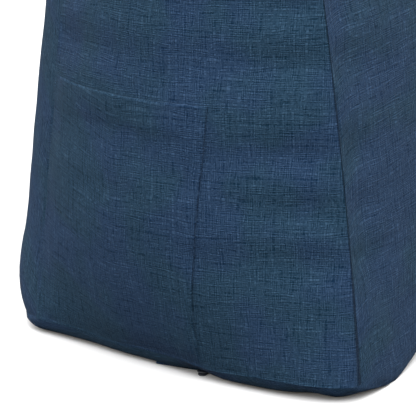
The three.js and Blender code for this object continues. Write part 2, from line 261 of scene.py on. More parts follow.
def smooth_dome(y, z, half_row):
    """How far an end panel stands out from the plane of its seams, before the puckers."""
    share = y / np.maximum(half_row, NARROWEST)
    full = DOME_RATIO * 2 * half_row * (1 - share**2)
    rise = np.clip((z - SEAM_BASE) / DOME_FOOT, 0, 1)
    bow = seam_bow(share) * (1 - rise) ** 2
    puff = PUFF * (1 - np.exp(-(half_row + y) / PUFF_REACH))
    puff = puff * (1 - np.exp(-(half_row - y) / PUFF_FADE))
    puff = puff * (1 - np.exp((SEAM_BASE - z) / PUFF_FADE))
    return np.where(half_row < NARROWEST, 0, bow + full * (1 - (1 - rise) ** 2) + puff)


def trough(z, edge):
    """How far the cloth sinks along the base seam, at a distance from the nearest other seam."""
    sunk = TROUGH_DEPTH * bump(z - SEAM_BASE - TROUGH_HEIGHT, TROUGH_HALF)
    return sunk * (1 - np.exp(-np.maximum(edge, 0) / TROUGH_FADE))


def end_dip(share, z):
    return seam_dip(share) * np.exp((SEAM_BASE - z) / DIP_FADE)


# Front, back and base panels

def crown(distance):
    return 1 - np.abs(1 - distance / HALF) ** CROWN_POWER


def quarter_round(share):
    return np.sqrt(1 - (1 - np.minimum(share, 1)) ** 2)


def soft_roll(share):
    return 1 - (1 - np.minimum(share, 1)) ** ROLL_POWER


def front_bulge(distance, z):
    puff = FRONT_PUFF * (1 - np.exp(-distance / FRONT_PUFF_REACH))
    return puff + FRONT_CROWN * crown(distance) - FRONT_PUCKER * pucker(z, distance)


def back_bulge(distance, z):
    roll = soft_roll(distance / BACK_ROLL_REACH)
    belly = BACK_BELLY * bump(z - BACK_BELLY_HEIGHT, BACK_BELLY_REACH)
    crowned = BACK_CROWN * crown(distance) - BACK_PUCKER * pucker(z, distance)
    return (BACK_ROLL + belly) * roll + crowned


def side_bulge(side, distance, z):
    return (front_bulge if side < 0 else back_bulge)(distance, z)


def edge_round(side, distance):
    if side > 0:
        return BACK_ROUND * quarter_round(distance / BACK_ROUND_REACH)
    grown = (distance - FRONT_ROUND_START) / (FRONT_ROUND_REACH - FRONT_ROUND_START)
    share = np.clip(grown, 0, 1)
    return FRONT_ROUND * share**2 * (3 - 2 * share)


def base_height(distance, dip, share):
    corner = CORNER_LIFT * bump(1 + share, CORNER_SHARE)
    beside = EAR_LIFT * bump(EAR_AT + share, EAR_SHARE)
    reach = BASE_ROLL_REACH * (1 + corner + beside)
    return (SEAM_BASE - dip) * (1 - soft_roll(distance / reach))


def base_puff(share, distance):
    along = np.minimum(distance / BASE_ROLL_REACH, 1)
    near_corner = np.minimum((1 - np.abs(share)) / BASE_PUFF_CORNER, 1)
    fullness = near_corner * (1 - BACK_SLACK * np.maximum(share, 0))
    return BASE_PUFF * np.sin(math.pi * along) * fullness


def base_line(share, distance):
    along = HALF - distance + seam_bow(share) * np.exp(-distance / BOW_FADE)
    tuck = ZIP_TUCK * bump(share * HALF_BASE - SLIDER_Y, TUCK_HALF)
    return along + base_puff(share, distance) - tuck * (1 - np.exp(-distance / TUCK_DEPTH))


def side_point(side, row, distance):
    """Where a level of the outline lies on the front (side -1) or back (side 1)."""
    y, z, normal_y, normal_z = row
    flank = side_bulge(side, distance, z)
    over_ridge = normal_z**2
    bulge = flank * (1 - over_ridge) + RIDGE_CROWN * crown(distance) * over_ridge
    return np.stack([side * (y + normal_y * bulge), z + normal_z * bulge], -1)


def corner_point(side, distance, reach, share):
    """A soft corner between a side and the base: share runs from the side to the base."""
    low = float(base_height(distance, 0, side))
    start = side_point(side, level(SEAM_BASE + reach), distance)
    foot = half_width(low) + side_bulge(side, distance, low)
    corner = np.array([side * foot, low])
    end = np.array([side * (foot - reach), low])
    share = np.asarray(share)[:, None]
    return (1 - share) ** 2 * start + 2 * share * (1 - share) * corner + share**2 * end


def side_section(side, rows, distance):
    """The section of the front or back at a distance from the end seam, from the base up."""
    line = side_point(side, rows.T, distance)
    reach = float(edge_round(side, distance))
    up = rows[:, 1] - SEAM_BASE
    inside = up < reach
    if inside.any():
        line[inside] = corner_point(side, distance, reach, 0.5 - up[inside] / (2 * reach))
    return line


def base_section(across, distance):
    """The section of the base at a distance from the end seam, across from front to back."""
    line = np.zeros((len(across), 2))
    for side, chosen in ((-1, across < 0), (1, across >= 0)):
        low = float(base_height(distance, 0, side))
        bulge = side_bulge(side, distance, low)
        part = across[chosen]
        reach = half_width(low) * np.abs(part) + bulge * part**BASE_CROWDING
        inset = half_width(low) + bulge - reach
        height = base_height(distance, seam_dip(part), part)
        found = np.stack([side * reach, height], 1)
        rounding = float(edge_round(side, distance))
        inside = inset < rounding
        if inside.any():
            share = 0.5 + inset[inside] / (2 * rounding)
            found[inside] = corner_point(side, distance, rounding, share)
        line[chosen] = found
    return line


# Mesh making

MERGE = 1e-3  # points closer than this, in millimetres, become one
NO_SEAM = 9.0  # seam distance of a piece that has no seam crease, far enough that it gets no painted crease shade


def measured(points, axis):
    """Length run along a grid of points, from its first line."""
    steps = np.linalg.norm(np.diff(points, axis=axis), axis=-1)
    start = np.zeros_like(np.take(steps, [0], axis=axis))
    return np.concatenate([start, np.cumsum(steps, axis=axis)], axis=axis)


class Sewn:
    """A mesh gathered from grids. Grids meet where their points lie in the same place."""

    def __init__(self):
        self.points = []
        self.faces = []
        self.weave = []
        self.seam = []
        self.count = 0

    def add(self, points, weave, seam, flip=False):
        rows, columns = points.shape[:2]
        index = np.arange(rows * columns).reshape(rows, columns)
        corners = [index[:-1, :-1], index[:-1, 1:], index[1:, 1:], index[1:, :-1]]
        quads = np.stack(corners, -1).reshape(-1, 4)
        if flip:
            quads = quads[:, ::-1]
        self.points.append(points.reshape(-1, 3))
        self.faces.append(quads + self.count)
        self.weave.append(weave.reshape(-1, 2)[quads])
        self.seam.append(seam.reshape(-1))
        self.count += rows * columns

    def add_sheet(self, outer, inner, weave, seam):
        """A closed sheet from its two faces. Its rows and columns turn left seen from outside."""
        self.add(outer, weave, seam)
        self.add(inner, weave, seam, flip=True)
        rim = [(slice(None), 0, True), (slice(None), -1, False)]
        rim += [(0, slice(None), False), (-1, slice(None), True)]
        for row, column, flip in rim:
            band = np.stack([outer[row, column], inner[row, column]], 1)
            edge = np.stack([weave[row, column]] * 2, 1)
            self.add(band, edge, np.stack([seam[row, column]] * 2, 1), flip)

    def make(self, name, material):
        points = np.concatenate(self.points)
        faces = np.concatenate(self.faces)
        weave = np.concatenate(self.weave)
        keys = np.round(points / MERGE).astype(np.int64)
        _, first, merged = np.unique(keys, axis=0, return_index=True, return_inverse=True)
        self.merged = merged.reshape(-1)
        faces = self.merged[faces]
        kept = []
        corners = []
        for face, corner in zip(faces.tolist(), weave.tolist()):
            pairs = [(v, w) for k, (v, w) in enumerate(zip(face, corner)) if v != face[k - 1]]
            if len({v for v, _ in pairs}) > 2:
                kept.append([v for v, _ in pairs])
                corners.extend(w for _, w in pairs)
        mesh = bpy.data.meshes.new(name)
        mesh.from_pydata(((points[first] + PLACE) * MM).tolist(), [], kept)
        layer = mesh.uv_layers.new(name="weave")
        layer.uv.foreach_set("vector", np.array(corners, np.float32).ravel())
        seam = mesh.attributes.new("seam", "FLOAT", "POINT")
        seam.data.foreach_set("value", np.concatenate(self.seam)[first].astype(np.float32))
        mesh.shade_smooth()
        if material:
            mesh.materials.append(material)
        piece = bpy.data.objects.new(name, mesh)
        bpy.context.scene.collection.objects.link(piece)
        return piece


# The filled body

def end_grid(layout):
    """Points of an end panel, seen as standing out along +X, and their distance to its seams."""
    row_half = layout.rows[:, 0][:, None]
    row_z = layout.rows[:, 1][:, None]
    share = (2 * layout.shares - 1)[None, :]
    y = row_half * share
    z = row_z + np.zeros_like(y)
    edge = row_half - np.abs(y)
    x = HALF + smooth_dome(y, z, row_half) - pucker(z, edge) - trough(z, edge)
    points = np.stack([x, y, z - end_dip(share, z)], -1)
    other = np.minimum(row_half - y, z - SEAM_BASE) + SOFT_SEAM
    return points, np.maximum(np.minimum(row_half + y, other), 0)


def wrap_grid(layout):
    """Points of the strip that runs from the middle of the base up the front, over the ridge and
    down the back to the base again: a line for each distance from the -X end seam."""
    across = 2 * layout.shares - 1
    lines = []
    for distance, end in zip(layout.rings, layout.ends):
        base = np.column_stack([base_line(across, distance), base_section(across, distance)])
        front = side_section(-1, layout.rows[1:], distance)
        back = side_section(1, layout.rows[1:-1], distance)
        flat = HALF - distance
        line = np.concatenate([
            base[layout.middle::-1],
            np.column_stack([np.full(len(front), flat), front]),
            np.column_stack([np.full(len(back), flat), back])[::-1],
            base[:layout.middle - 1:-1],
        ])
        line[:, 0] *= end
        lines.append(line)
    return np.array(lines)


def wrap_places(layout):
    """How far round the strip each station lies, from the middle of the base."""
    top = layout.row_places[-1]
    base = 2 * FOOT * (0.5 - layout.shares)
    return np.concatenate([
        base[layout.middle::-1],
        FOOT + layout.row_places[1:],
        FOOT + 2 * top - layout.row_places[1:-1][::-1],
        2 * FOOT + 2 * top + base[:layout.middle - 1:-1],
    ])


def end_weave(panel, layout):
    """Weave coordinates of an end panel: length run across from its middle and up from its base."""
    across = measured(panel, 1)
    across = across - across[:, layout.middle][:, None]
    up = measured(panel[:, layout.middle:layout.middle + 1], 0) + np.zeros_like(across)
    return np.stack([across, up], -1)


STRIP_SPREAD = 1.5  # the strip's upright yarns lie this much further apart than an end panel's


def wrap_weave(wrap, layout):
    """Weave coordinates of the strip: along it from its middle, and down from the ridge."""
    ridge = layout.middle + len(layout.rows)
    along = measured(wrap, 0)
    along = (along - along[len(along) // 2][None, :]) / STRIP_SPREAD
    around = measured(wrap, 1)
    return np.stack([along, around[:, ridge][:, None] - around], -1)


def body_grids(layout):
    """The grids of the whole cover: both end panels and the strip."""
    panel, edge = end_grid(layout)
    wrap = wrap_grid(layout)
    wrap_edge = np.repeat(layout.rings[:, None], wrap.shape[1], 1)
    front = np.arange(wrap.shape[1])
    front = (front > layout.middle) & (front <= layout.middle + len(layout.rows))
    wrap_edge = wrap_edge + np.where(front, 0, SOFT_SEAM)
    ends = [(panel * (end, 1, 1), end_weave(panel, layout), edge, end < 0) for end in (-1, 1)]
    return [*ends, (wrap, wrap_weave(wrap, layout), wrap_edge, True)]


# Cloth simulation of the cover, pressed out by its filling between the seams

SIM_FRAMES = 20
SIM_PRESSURE = 4
SIM_EXTRA_CLOTH = 0.035  # how much larger the cloth is cut than the stitching holds it
SIM_SPREAD = 3  # cells over which the overall swelling is told from the folds
SIM_CAP = 0.5  # folds move the cloth by this much at most
SIM_EDGE = 14.0  # they fade this near to a seam
HELD_EDGE = 0.1  # cloth this near to a seam is held, and so is cloth
HELD_HEIGHT = 0.5  # this near to the floor
BLUR_WIDTH = 3  # a blur is cut off at this many times its reach


def coordinates(mesh):
    found = np.zeros(len(mesh.vertices) * 3)
    mesh.vertices.foreach_get("co", found)
    return found.reshape(-1, 3)


def settle(layout):
    """How far each point of the trial grids moves as the cloth settles, one array a grid."""
    sewn = Sewn()
    grids = body_grids(layout)
    for grid in grids:
        sewn.add(*grid)
    trial = sewn.make("trial_cover", None)
    rest = coordinates(trial.data) / MM
    edge = np.zeros(len(rest))
    trial.data.attributes["seam"].data.foreach_get("value", edge)
    held = trial.vertex_groups.new(name="held")
    for index in np.flatnonzero((edge < HELD_EDGE) | (rest[:, 2] < HELD_HEIGHT)):
        held.add([int(index)], 1.0, "REPLACE")
    sheet = trial.modifiers.new("cloth", "CLOTH")
    made = sheet.settings
    made.quality = 6
    made.mass = 0.3
    made.tension_stiffness = made.compression_stiffness = 15
    made.shear_stiffness = 5
    made.bending_stiffness = 0.4
    made.use_pressure = True
    made.uniform_pressure_force = SIM_PRESSURE
    made.shrink_min = -SIM_EXTRA_CLOTH
    made.vertex_group_mass = "held"
    made.effector_weights.gravity = 0
    sheet.collision_settings.use_collision = False
    sheet.point_cache.frame_start = 1
    sheet.point_cache.frame_end = SIM_FRAMES
    for step in range(1, SIM_FRAMES + 1):
        bpy.context.scene.frame_set(step)
    evaluated = trial.evaluated_get(bpy.context.evaluated_depsgraph_get())
    moved = coordinates(evaluated.data) / MM - rest
    bpy.data.objects.remove(trial)
    bpy.context.scene.frame_set(1)
    shapes = [grid[0].shape for grid in grids]
    counts = np.cumsum([rows * columns for rows, columns, _ in shapes])[:-1]
    parts = np.split(moved[sewn.merged], counts)
    fields = []
    for part, shape, (_, _, edge, _) in zip(parts, shapes, grids):
        whole = part.reshape(shape)
        folds = whole - spread(whole, SIM_SPREAD)
        size = np.linalg.norm(folds, axis=-1, keepdims=True)
        folds = folds * np.minimum(1, SIM_CAP / np.maximum(size, TINY))
        fields.append(folds * (1 - np.exp(-edge / SIM_EDGE))[..., None])
    return fields


def spread(field, reach):
    """A grid's field blurred over reach cells along both of its axes."""
    steps = np.arange(-BLUR_WIDTH * reach, BLUR_WIDTH * reach + 1)
    weights = np.exp(-((steps / reach) ** 2) / 2)
    weights /= weights.sum()
    for axis in (0, 1):
        numbers = np.clip(np.arange(field.shape[axis])[:, None] + steps, 0, field.shape[axis] - 1)
        cells = np.moveaxis(field, axis, -1)[..., numbers]
        field = np.moveaxis(np.tensordot(cells, weights, 1), -1, axis)
    return field


def cubic(places, lines):
    """Where places fall between lines: four line numbers and their smooth weights."""
    run = np.interp(places, lines, np.arange(len(lines)))
    low = np.minimum(np.floor(run).astype(int), len(lines) - 2)
    t = run - low
    weights = np.stack([
        (-t**3 + 2 * t**2 - t) / 2,
        (3 * t**3 - 5 * t**2 + 2) / 2,
        (-3 * t**3 + 4 * t**2 + t) / 2,
        (t**3 - t**2) / 2,
    ])
    numbers = np.clip(low + np.arange(-1, 3).reshape(-1, *[1] * low.ndim), 0, len(lines) - 1)
    return numbers, weights


def sampled(field, down, across, places_down, places_across):
    """A grid's field between its lines, at places given down and across it."""
    rows, row_weights = cubic(places_down, down)
    columns, column_weights = cubic(places_across, across)
    total = 0
    for row, row_weight in zip(rows, row_weights):
        for column, column_weight in zip(columns, column_weights):
            total = total + field[row, column] * (row_weight * column_weight)[..., None]
    return total


# The cover as it shows: the fine grids, moved as the trial cloth settled

def strip_share(place, low, high, soft):
    """1 between low and high, falling to 0 over soft beyond each."""
    inside = np.minimum(place - low, high - place)
    return np.clip(1 + inside / soft, 0, 1)


CHANNEL_SOFT = 1.2
CHANNEL_EDGES = (
    FLAP_FRONT - GAP - CHANNEL_SOFT,
    FLAP_FRONT - GAP,
    FLAP_FRONT + FLAP_WIDTH + GAP,
    FLAP_FRONT + FLAP_WIDTH + GAP + CHANNEL_SOFT,
)
SLIDER_X = SLIDER_LENGTH / 2 - SLIDER_TIP


def clear_of_zip(points):
    """Lifts the base over the flap and the slider, which lie in its underside."""
    x, y, z = np.moveaxis(points, -1, 0)
    channel = strip_share(y, FLAP_FRONT - GAP, FLAP_FRONT + FLAP_WIDTH + GAP, CHANNEL_SOFT)
    side = SLIDER_WIDTH / 2 + GAP
    notch = strip_share(y, SLIDER_Y - side, SLIDER_Y + side, CHANNEL_SOFT)
    notch = notch * (x < SLIDER_X + SLIDER_LENGTH / 2 + GAP)
    floor = np.maximum(channel * (FLAP_CLOTH + GAP), notch * (SLIDER_THICK + GAP))
    lifted = points.copy()
    lifted[..., 2] = np.maximum(z, floor)
    return lifted


FINE = Layout(fine_steps, RIDGE_ROWS, CHANNEL_EDGES)
TRIAL = Layout(trial_steps, TRIAL_RIDGE_ROWS)


def settled_field():
    return settle(TRIAL)


def make_cushion(field, material):
    sewn = Sewn()
    near, far, strip = body_grids(FINE)
    down, across = FINE.row_places[:, None], FINE.shares[None, :]
    places = np.broadcast_arrays(down, across)
    round_places = np.broadcast_arrays(FINE.ring_places[:, None], wrap_places(FINE)[None, :])
    moves = [
        sampled(field[0], TRIAL.row_places, TRIAL.shares, *places),
        sampled(field[1], TRIAL.row_places, TRIAL.shares, *places),
        sampled(field[2], TRIAL.ring_places, wrap_places(TRIAL), *round_places),
    ]
    for (points, weave, edge, flip), move in zip((near, far, strip), moves):
        sewn.add(clear_of_zip(points + move), weave, edge, flip)
    return sewn.make("cushion_cover", material)


# Patch pocket on the -X end panel

def near_end(y, z, field):
    """A point of the -X end panel, without its puckers but moved as the cloth settled."""
    half_row = half_width(z)
    across = y / half_row
    smooth = smooth_dome(y, z, half_row) - trough(z, half_row - np.abs(y))
    points = np.stack([-(HALF + smooth), y, z - end_dip(across, z)], -1)
    share = (across + 1) / 2
    return points + sampled(field[0], TRIAL.row_places, TRIAL.shares, z - SEAM_BASE, share)


def near_normal(y, z, field):
    across = near_end(y + SLOPE_STEP, z, field) - near_end(y - SLOPE_STEP, z, field)
    up = near_end(y, z + SLOPE_STEP, field) - near_end(y, z - SLOPE_STEP, field)
    normal = np.cross(up, across)
    return normal / np.linalg.norm(normal, axis=-1, keepdims=True)


def pocket_side(z):
    return POCKET_SIDE - POCKET_SPREAD * np.maximum(z - POCKET_SPREAD_FROM, 0)


POCKET_EDGE = (0, 0.15, 0.45, 0.9, 1.5, 2.0, 2.5, 3.2, 4.4, 6, 7.2, 8.0, 9.6, 12, 14.8, 16)
SEWN_EDGE = np.array((0, 0.12, 0.4, 1, 2, 4))
POCKET_CELL = 3.6
TURN_IN = 7.6  # width of the side's turned-in edge, which shows through as a soft step
HEM = 15.4
HEM_STEP = 0.35
STEP_SOFT = 1.5  # a step's width
STITCH_INSET = 2.0
STITCH_SINK = 0.35
STITCH_HALF = 0.8
EDGE_ROLL = 0.9
POCKET_BASE = 0.2
CAUGHT = 12  # its back edge and its foot are caught in the seams, and thin out over this width
POCKET_SKEW = 0.16  # the pocket's cloth is pulled askew towards the back seam
POCKET_SKEW_FROM = 32
POCKET_SKEW_SOFT = 15
POCKET_GAPE = 1.1  # how far the empty pocket's mouth stands off
POCKET_GAPE_REACH = 14  # and how far down that fades


def pocket_steps(length):
    """Distances from a free edge to the sewn edge across from it, close together at both."""
    low, high = POCKET_EDGE[-1], length - SEWN_EDGE[-1]
    inner = np.linspace(low, high, round((high - low) / POCKET_CELL) + 1)
    return np.concatenate([POCKET_EDGE[:-1], inner, length - SEWN_EDGE[-2::-1]])


def smooth_step(value):
    share = np.clip(value, 0, 1)
    return share**2 * (3 - 2 * share)


def pocket_lift(side, top, back, foot, across):
    """How far the pocket's face lies off the end panel, by its distances from its edges."""
    nearest = np.minimum(side, top)
    lift = POCKET_BASE + (POCKET_CLOTH - HEM_STEP) * quarter_round(nearest / EDGE_ROLL)
    turned = 1 - smooth_step((side - TURN_IN) / STEP_SOFT + 0.5)
    hemmed = 1 - smooth_step((top - HEM) / STEP_SOFT + 0.5)
    lift = lift + HEM_STEP * np.maximum(turned, hemmed) * quarter_round(nearest / EDGE_ROLL)
    lift = lift - STITCH_SINK * bump(side - STITCH_INSET, STITCH_HALF)
    caught = smooth_step(np.minimum(back, foot) / CAUGHT)
    gape = POCKET_GAPE * np.sin(math.pi * across) * np.exp(-top / POCKET_GAPE_REACH)
    return POCKET_BASE + (lift - POCKET_BASE) * caught, gape


def make_pocket(field, material):
    top = pocket_steps(POCKET_TOP - POCKET_FOOT)[::-1, None]
    z = POCKET_TOP - top
    front = pocket_side(z)
    back = half_width(z) - POCKET_BACK_INSET
    side_share = pocket_steps(float(back[0, 0] - front[0, 0]))[None, :]
    side_share = side_share / side_share[0, -1]
    side = side_share * (back - front)
    y = front + side
    z = z + np.zeros_like(y)
    top = top + np.zeros_like(y)
    surface = near_end(y, z, field)
    normal = near_normal(y, z, field)
    lift, gape = pocket_lift(side, top, back - y, z - POCKET_FOOT, side_share)
    outer = surface + normal * (lift + gape)[..., None]
    inner = surface + normal * (POCKET_BASE / 2 + gape)[..., None]
    across = measured(surface, 1)
    up = measured(surface, 0)
    beyond = y - POCKET_SKEW_FROM
    rise = POCKET_SKEW * (np.hypot(beyond, POCKET_SKEW_SOFT) + beyond) / 2
    weave = np.stack([across - across[:, :1] + y[:, :1], up - rise], -1)
    sewn = Sewn()
    sewn.add_sheet(outer, inner, weave, np.full(y.shape, NO_SEAM))
    return sewn.make("patch_pocket", material)


# Zip flap: a strip let into the base, whose ends show under the roll of the base

FLAP_EDGE = (0, 0.08, 0.3, 0.7, 1.4, 2.4, 4)
FLAP_CELL = 12
FLAP_COLUMNS = 6


def stretch_steps(length, edge, cells):
    """Places across a strip, close together at both of its edges."""
    inner = np.linspace(edge[-1], length - edge[-1], cells + 1)
    near = np.array(edge[:-1])
    return np.concatenate([near, inner, length - near[::-1]])


def make_flap(material):
    inset = stretch_steps(FLAP_WIDTH, FLAP_EDGE, FLAP_COLUMNS)[None, :]
    run = stretch_steps(2 * FLAP_END, FLAP_EDGE, round(2 * FLAP_END / FLAP_CELL))[:, None]
    nearest = np.minimum(inset, FLAP_WIDTH - inset)
    nearest = np.minimum(nearest, np.minimum(run, 2 * FLAP_END - run))
    round_edge = FLAP_CLOTH / 2 * (1 - quarter_round(nearest / (FLAP_CLOTH / 2)))
    reach = 1 + FLAP_SLANT * (inset - FLAP_WIDTH / 2) / FLAP_END
    x = (run - FLAP_END) * reach
    y = FLAP_FRONT + inset + np.zeros_like(x)
    under = np.stack([x, y, round_edge], -1)
    over = np.stack([x, y, FLAP_CLOTH - round_edge], -1)
    sewn = Sewn()
    sewn.add_sheet(under, over, under[..., :2], np.full(x.shape, NO_SEAM))
    return sewn.make("zip_lap", material)


# Zip slider: a bevelled plate joined by a neck to a narrower bevelled plate, the pull tab, lying
# under it

SLIDER_SIDES = 32
PLATE_THICK = 0.85
TAB_WIDTH = 4.6
BEVEL = 0.3
BEVEL_TURN = 0.3  # where a bevel's middle line lies, as a share of it
NECK_LENGTH = 0.5  # the neck's shares of the slider's length and width
NECK_WIDTH = 0.35
NECK_END = 0.6  # where in the plates' thickness it ends


def stadium(length, width):
    """Outline of a plate with round ends, from its +X end."""
    angle = 2 * math.pi * np.arange(SLIDER_SIDES) / SLIDER_SIDES
    reach = length / 2 - width / 2
    x = width / 2 * np.cos(angle) + np.where(np.cos(angle) >= 0, reach, -reach)
    return np.stack([x, width / 2 * np.sin(angle)], -1)


def add_plate(sewn, centre, length, width, low, high):
    turn = BEVEL * BEVEL_TURN
    levels = [(low, BEVEL), (low + turn, turn), (low + BEVEL, 0)]
    levels += [(high - BEVEL, 0), (high - turn, turn), (high, BEVEL)]
    rings = []
    for height, inset in levels:
        line = stadium(length - 2 * inset, width - 2 * inset)
        rings.append(np.column_stack([line, np.full(len(line), height)]))
    middle = [np.tile([0.0, 0.0, height], (SLIDER_SIDES, 1)) for height in (low, high)]
    rings = np.array([middle[0], *rings, middle[1]]) + (*centre, 0)
    rings = np.concatenate([rings, rings[:, :1]], 1)
    sewn.add(rings, rings[..., :2], np.full(rings.shape[:2], NO_SEAM))


def make_slider(material):
    sewn = Sewn()
    centre = (SLIDER_X, SLIDER_Y)
    add_plate(sewn, centre, SLIDER_LENGTH, SLIDER_WIDTH, SLIDER_THICK - PLATE_THICK, SLIDER_THICK)
    neck_low = PLATE_THICK * NECK_END
    neck_high = SLIDER_THICK - PLATE_THICK * NECK_END
    add_plate(sewn, centre, SLIDER_LENGTH * NECK_LENGTH, SLIDER_WIDTH * NECK_WIDTH,
              neck_low, neck_high)
    add_plate(sewn, centre, SLIDER_LENGTH, TAB_WIDTH, 0, PLATE_THICK)
    return sewn.make("zip_slider_body", material)


# Materials

MIX_FACTOR, MIX_FIRST, MIX_SECOND = 0, 6, 7  # a Mix node's inputs where it mixes colours
MIX_RESULT = 2
BLACK = (0, 0, 0, 1)
WHITE = (1, 1, 1, 1)


class Nodes:
    """Short ways to add and join shader nodes."""

    def __init__(self, tree):
        self.tree = tree

    def node(self, kind, inputs=None, **settings):
        made = self.tree.nodes.new(kind)
        for key, value in settings.items():
            setattr(made, key, value)
        for key, value in (inputs or {}).items():
            self.put(made.inputs[key], value)
        return made

    def put(self, socket, value):
        if isinstance(value, bpy.types.NodeSocket):
            self.tree.links.new(value, socket)
        else:
            socket.default_value = value

    def math(self, operation, *values):
        made = self.tree.nodes.new("ShaderNodeMath")
        made.operation = operation
        for socket, value in zip(made.inputs, values):
            self.put(socket, value)
        return made.outputs[0]

    def join(self, x, y=0.0):
        return self.node("ShaderNodeCombineXYZ", {"X": x, "Y": y}).outputs[0]

    def noise(self, vector, scale, detail=1.0):
        inputs = {"Vector": vector, "Scale": scale, "Detail": detail}
        made = self.node("ShaderNodeTexNoise", inputs, noise_dimensions="2D")
        return made.outputs["Fac"]

    def ramp(self, value, low, high):
        inputs = {"Value": value, "From Min": low, "From Max": high}
        return self.node("ShaderNodeMapRange", inputs, interpolation_type="SMOOTHSTEP").outputs[0]

    def mix(self, factor, first, second):
        made = self.node("ShaderNodeMix", data_type="RGBA")
        self.put(made.inputs[MIX_FACTOR], factor)
        self.put(made.inputs[MIX_FIRST], first)
        self.put(made.inputs[MIX_SECOND], second)
        return made.outputs[MIX_RESULT]

    def shifted(self, vector, shift):
        made = self.node("ShaderNodeVectorMath", {0: vector, 1: shift}, operation="ADD")
        return made.outputs[0]


YARN = 0.97  # spacing of the yarns, in millimetres
UNEVEN = 3.2  # how many yarns their spacing may stray by, over UNEVEN_REACH across them
UNEVEN_REACH = 2.6
UNEVEN_LENGTH = 40.0  # length along a yarn over which that changes
SLUB = 3.5  # length of a slub along a yarn
FAINT, FULL = 0.3, 0.62  # noise at which a yarn's roundness is least and most
STRENGTH_STRIDE = 7.31  # how far apart neighbouring yarns read their noise, for roundness
TONE_STRIDE = -5.17  # and for tone
TONE_SCALE = 0.8
WEFT_SEED = 0.5
WARP_SEED = 913.5
WANDER = 1.4  # how far yarns wander from straight
WANDER_REACH = 17.0
WANDER_SHIFT = 41.7  # between the noises that move the weft and the warp
DRIFT_REACH = 42.0  # size of the patches in which the dye leans to green or to violet
DRIFT_START = (0, 270, 0)  # shifts those patches over the cloth
ALL_GREEN, ALL_VIOLET = 0.38, 0.62  # noise at which a patch is wholly green or violet
MID_NOISE = 0.5
GAP_SHADE = 0.56  # painted light and shade: how much lighter each yarn's back and darker the gaps between yarns are coloured
SLUB_TONE = 0.55  # how much the yarns differ in tone
FUZZ_REACH = 1.05  # size of the fluff on the yarns
FUZZ_TONE = 1.15
SHADE_SHARE = 0.5  # how far the painted gap shade, the yarns' tone and their fluff carry the colour from its dark to its light
MIDDLE_TONE = 0.395  # where the cloth as a whole lies between its dark and its light
GREEN_DARK = (0.0040, 0.0185, 0.0370, 1)
GREEN_LIGHT = (0.0375, 0.0800, 0.1330, 1)
VIOLET_DARK = (0.0045, 0.0175, 0.0450, 1)
VIOLET_LIGHT = (0.0400, 0.0775, 0.1460, 1)
WEAVE_BUMP = 0.5
YARN_HEIGHT = 0.00025
CREASE_SHADE_WIDTH = 0.7  # width over which painted shade darkens the colour towards a seam's crease
SOFT_SEAM = 0.5  # painted crease shade at back and base seams is as light as this far from a sharp seam
CREASE_SHADE_TONE = 0.45
CLOTH_ROUGHNESS = 0.85
CLOTH_SPECULAR = 0.05
CLOTH_SHEEN = 0.02
SHEEN_ROUGHNESS = 0.5


def yarns(nodes, along, across, seed):
    """One set of yarns at a place: their rounded profile, which sets the bump and the painted light
    and shade across each yarn, their tone, and a wave that changes sign from each yarn to the next."""
    place = nodes.math("DIVIDE", along, SLUB)
    spacing = nodes.join(nodes.math("DIVIDE", along, UNEVEN_LENGTH),
                         nodes.math("DIVIDE", across, UNEVEN_REACH))
    uneven = nodes.noise(spacing, 1.0)
    count = nodes.math("ADD", nodes.math("DIVIDE", across, YARN),
                       nodes.math("MULTIPLY", uneven, UNEVEN))
    number = nodes.math("ADD", nodes.math("FLOOR", count), seed)
    round_back = nodes.math("COSINE", nodes.math("MULTIPLY", count, 2 * math.pi))
    strength = nodes.noise(nodes.join(place, nodes.math("MULTIPLY", number, STRENGTH_STRIDE)), 1.0)
    tone = nodes.noise(nodes.join(place, nodes.math("MULTIPLY", number, TONE_STRIDE)), TONE_SCALE)
    profile = nodes.math("MULTIPLY", round_back, nodes.ramp(strength, FAINT, FULL))
    turn = nodes.math("SINE", nodes.math("MULTIPLY", count, math.pi))
    return nodes.math("MULTIPLY", profile, -1.0), nodes.math("SUBTRACT", tone, MID_NOISE), turn


